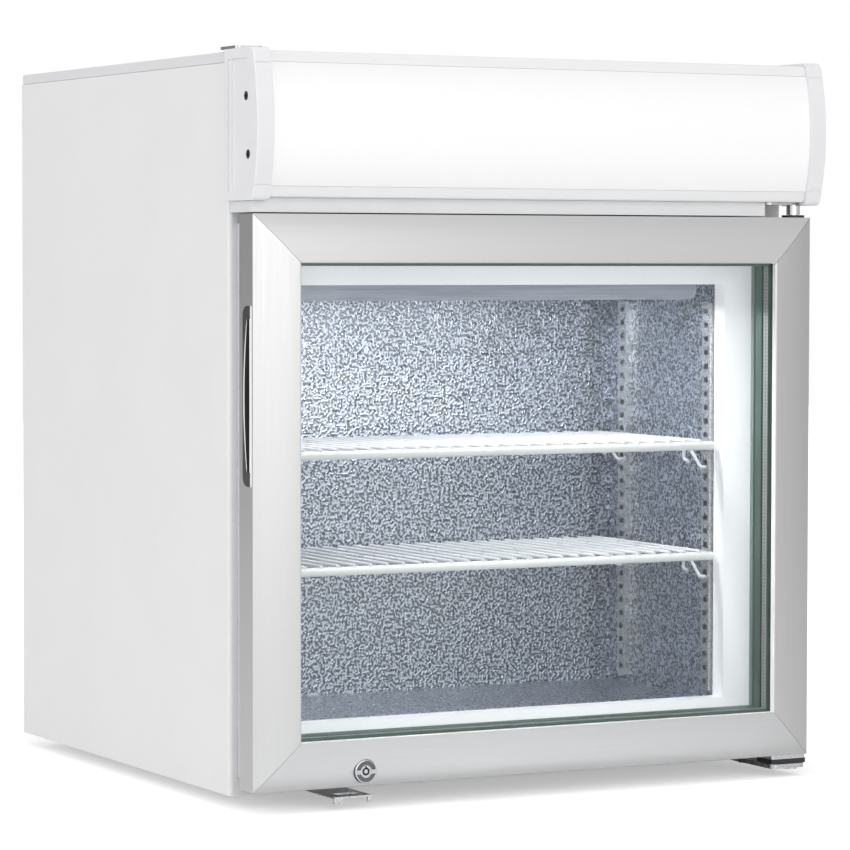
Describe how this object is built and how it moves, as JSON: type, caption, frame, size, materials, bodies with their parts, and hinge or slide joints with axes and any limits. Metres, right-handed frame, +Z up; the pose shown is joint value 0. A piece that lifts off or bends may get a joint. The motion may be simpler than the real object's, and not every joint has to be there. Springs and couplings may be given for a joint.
{
  "type": "countertop display freezer",
  "caption": "Upright countertop display freezer with a hinged glass door, wire shelves, an illuminated canopy, a door lock and a rear machine compartment.",
  "frame": {"origin": "on the floor, under the middle of the overall width and depth", "axes": "+Z up, +X towards the door's hinge side, -Y towards the customer"},
  "size_m": [0.579, 0.556, 0.665],
  "materials": {
    "casing_paint": "satin",
    "canopy_paint": "satin",
    "galvanised": "satin",
    "foam": "matte",
    "liner_metal": "satin",
    "white_plastic": "satin",
    "canopy_plastic": "satin",
    "black_plastic": "satin",
    "grey_frame_plastic": "satin",
    "grey_plastic": "satin",
    "door_aluminium": "satin",
    "pane_glass": "gloss",
    "spacer_metal": "satin",
    "gasket_rubber": "matte",
    "chromed": "polished",
    "plated_steel": "satin",
    "dark_steel": "satin",
    "coated_wire": "satin",
    "black_rubber": "matte",
    "opal_acrylic": "satin",
    "led_board": "satin",
    "lamp_acrylic": "satin",
    "copper": "satin",
    "black_enamel": "gloss",
    "fin_metal": "satin"
  },
  "bodies": {
    "cabinet": {"side_panel_left": "casing_paint", "side_panel_right": "casing_paint", "top_cover": "casing_paint", "base_pan": "galvanised", "header_panel": "casing_paint", "bulkhead": "galvanised", "insulation_foam": "foam", "liner": "liner_metal", "throat_frame": "white_plastic", "evaporator_coil": "copper", "rear_panel": "galvanised", "pan_head_screws": "plated_steel", "feet": "black_plastic", "canopy_end_left": "canopy_plastic", "canopy_end_right": "canopy_plastic", "canopy_top_profile": "canopy_paint", "canopy_bottom_profile": "canopy_paint", "canopy_diffuser": "opal_acrylic", "led_strips": "led_board", "led_driver": "white_plastic", "countersunk_screws": "dark_steel", "header_trim": "canopy_plastic", "canopy_clip": "plated_steel", "top_hinge_bracket": "plated_steel", "hinge_pins": "chromed", "bottom_hinge_bracket": "plated_steel", "lock_strike": "plated_steel", "shelf_rails": "plated_steel", "shelf_clips": "coated_wire", "lamp_cover": "lamp_acrylic", "compressor": "black_enamel", "compressor_mounts": "black_rubber", "condenser": "fin_metal", "fan_motor": "plated_steel", "fan_shroud": "galvanised", "filter_drier": "copper", "refrigerant_tubes": "copper", "thermostat": "grey_plastic", "switch_housing": "black_plastic", "cable_gland": "black_plastic"},
    "door": {"door_frame_left": "door_aluminium", "door_frame_right": "door_aluminium", "door_frame_top": "door_aluminium", "door_frame_bottom": "door_aluminium", "handle_insert": "grey_plastic", "glass_front": "pane_glass", "glass_inner_panes": "pane_glass", "glass_spacers": "spacer_metal", "door_inner_frame": "grey_frame_plastic", "door_gasket": "gasket_rubber", "hinge_bushes": "black_plastic", "door_hinge_plate": "plated_steel", "lock_body": "chromed"},
    "lock_core": {"lock_rotor": "chromed", "lock_cam": "plated_steel"},
    "upper_shelf": {"upper_shelf": "coated_wire"},
    "lower_shelf": {"lower_shelf": "coated_wire"},
    "fan": {"fan_blade": "black_plastic"},
    "knob": {"thermostat_knob": "black_plastic"},
    "rocker": {"light_switch_rocker": "black_plastic"}
  },
  "joints": [
    {"name": "door_hinge", "type": "hinge", "parent": "cabinet", "child": "door", "pos_m": [0.2757, -0.244, 0.27], "axis": [0, 0, 1], "range_deg": [0, 110]},
    {"name": "lock_turn", "type": "hinge", "parent": "door", "child": "lock_core", "pos_m": [-0.1791, -0.244, 0.0338], "axis": [0, -1, 0], "range_deg": [0, 90]},
    {"name": "upper_shelf_lift", "type": "slide", "parent": "cabinet", "child": "upper_shelf", "axis": [0, 0, 1], "range_m": [0, 0.01]},
    {"name": "lower_shelf_lift", "type": "slide", "parent": "cabinet", "child": "lower_shelf", "axis": [0, 0, 1], "range_m": [0, 0.01]},
    {"name": "fan_spin", "type": "hinge", "parent": "cabinet", "child": "fan", "pos_m": [0.145, 0.1855, 0.165], "axis": [0, 1, 0], "continuous": true},
    {"name": "knob_turn", "type": "hinge", "parent": "cabinet", "child": "knob", "pos_m": [-0.012, 0.27, 0.085], "axis": [0, -1, 0], "range_deg": [0, 270]},
    {"name": "rocker_tilt", "type": "hinge", "parent": "cabinet", "child": "rocker", "pos_m": [-0.012, 0.261, 0.14], "axis": [-1, 0, 0], "range_deg": [0, 16]}
  ]
}
